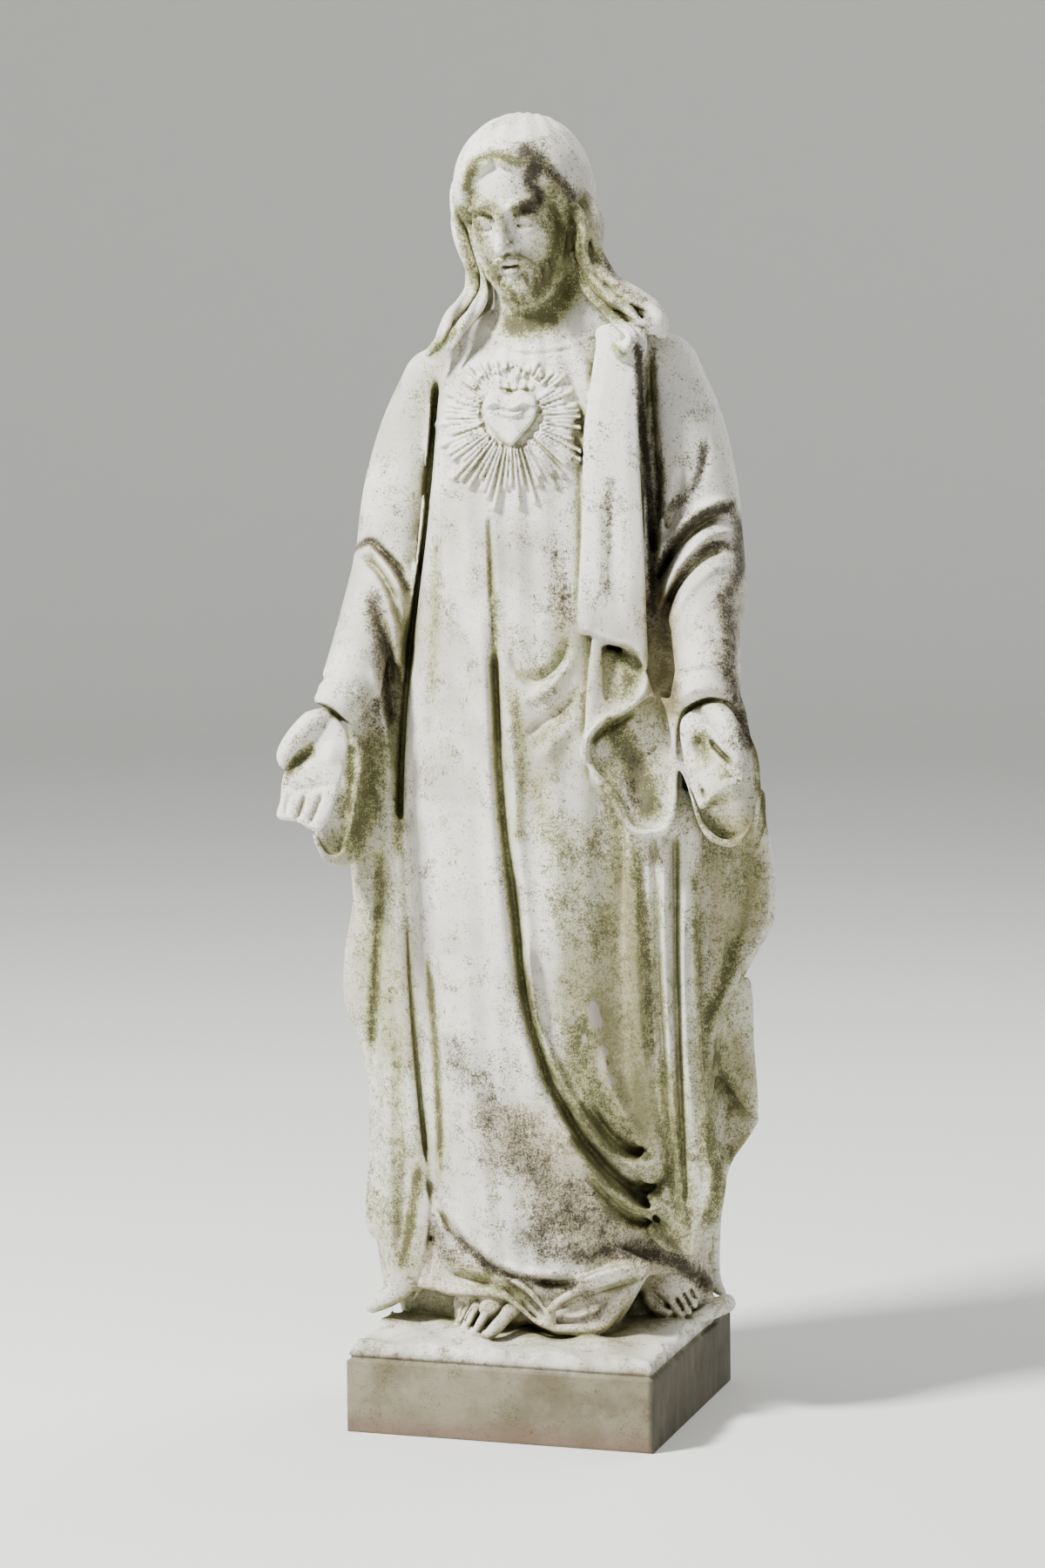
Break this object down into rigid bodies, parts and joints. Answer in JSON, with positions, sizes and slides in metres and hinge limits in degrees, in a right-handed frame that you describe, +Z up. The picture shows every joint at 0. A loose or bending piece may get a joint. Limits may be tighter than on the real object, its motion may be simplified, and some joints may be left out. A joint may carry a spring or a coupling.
{
  "type": "carved marble robed figure statue on squared base",
  "caption": "Standing robed bearded figure carved from one block of white marble, hands held open, on an integral squared base.",
  "frame": {"origin": "centre of the flat underside of the squared base", "axes": "+Z up, -Y the way the figure faces, +X towards the figure's left hand"},
  "size_m": [0.5767, 0.3989, 1.5995],
  "materials": {
    "marble": "weathered matt white marble, stained green, brown and black in its hollows"
  },
  "bodies": {
    "root": {"statue": "marble"}
  },
  "joints": []
}
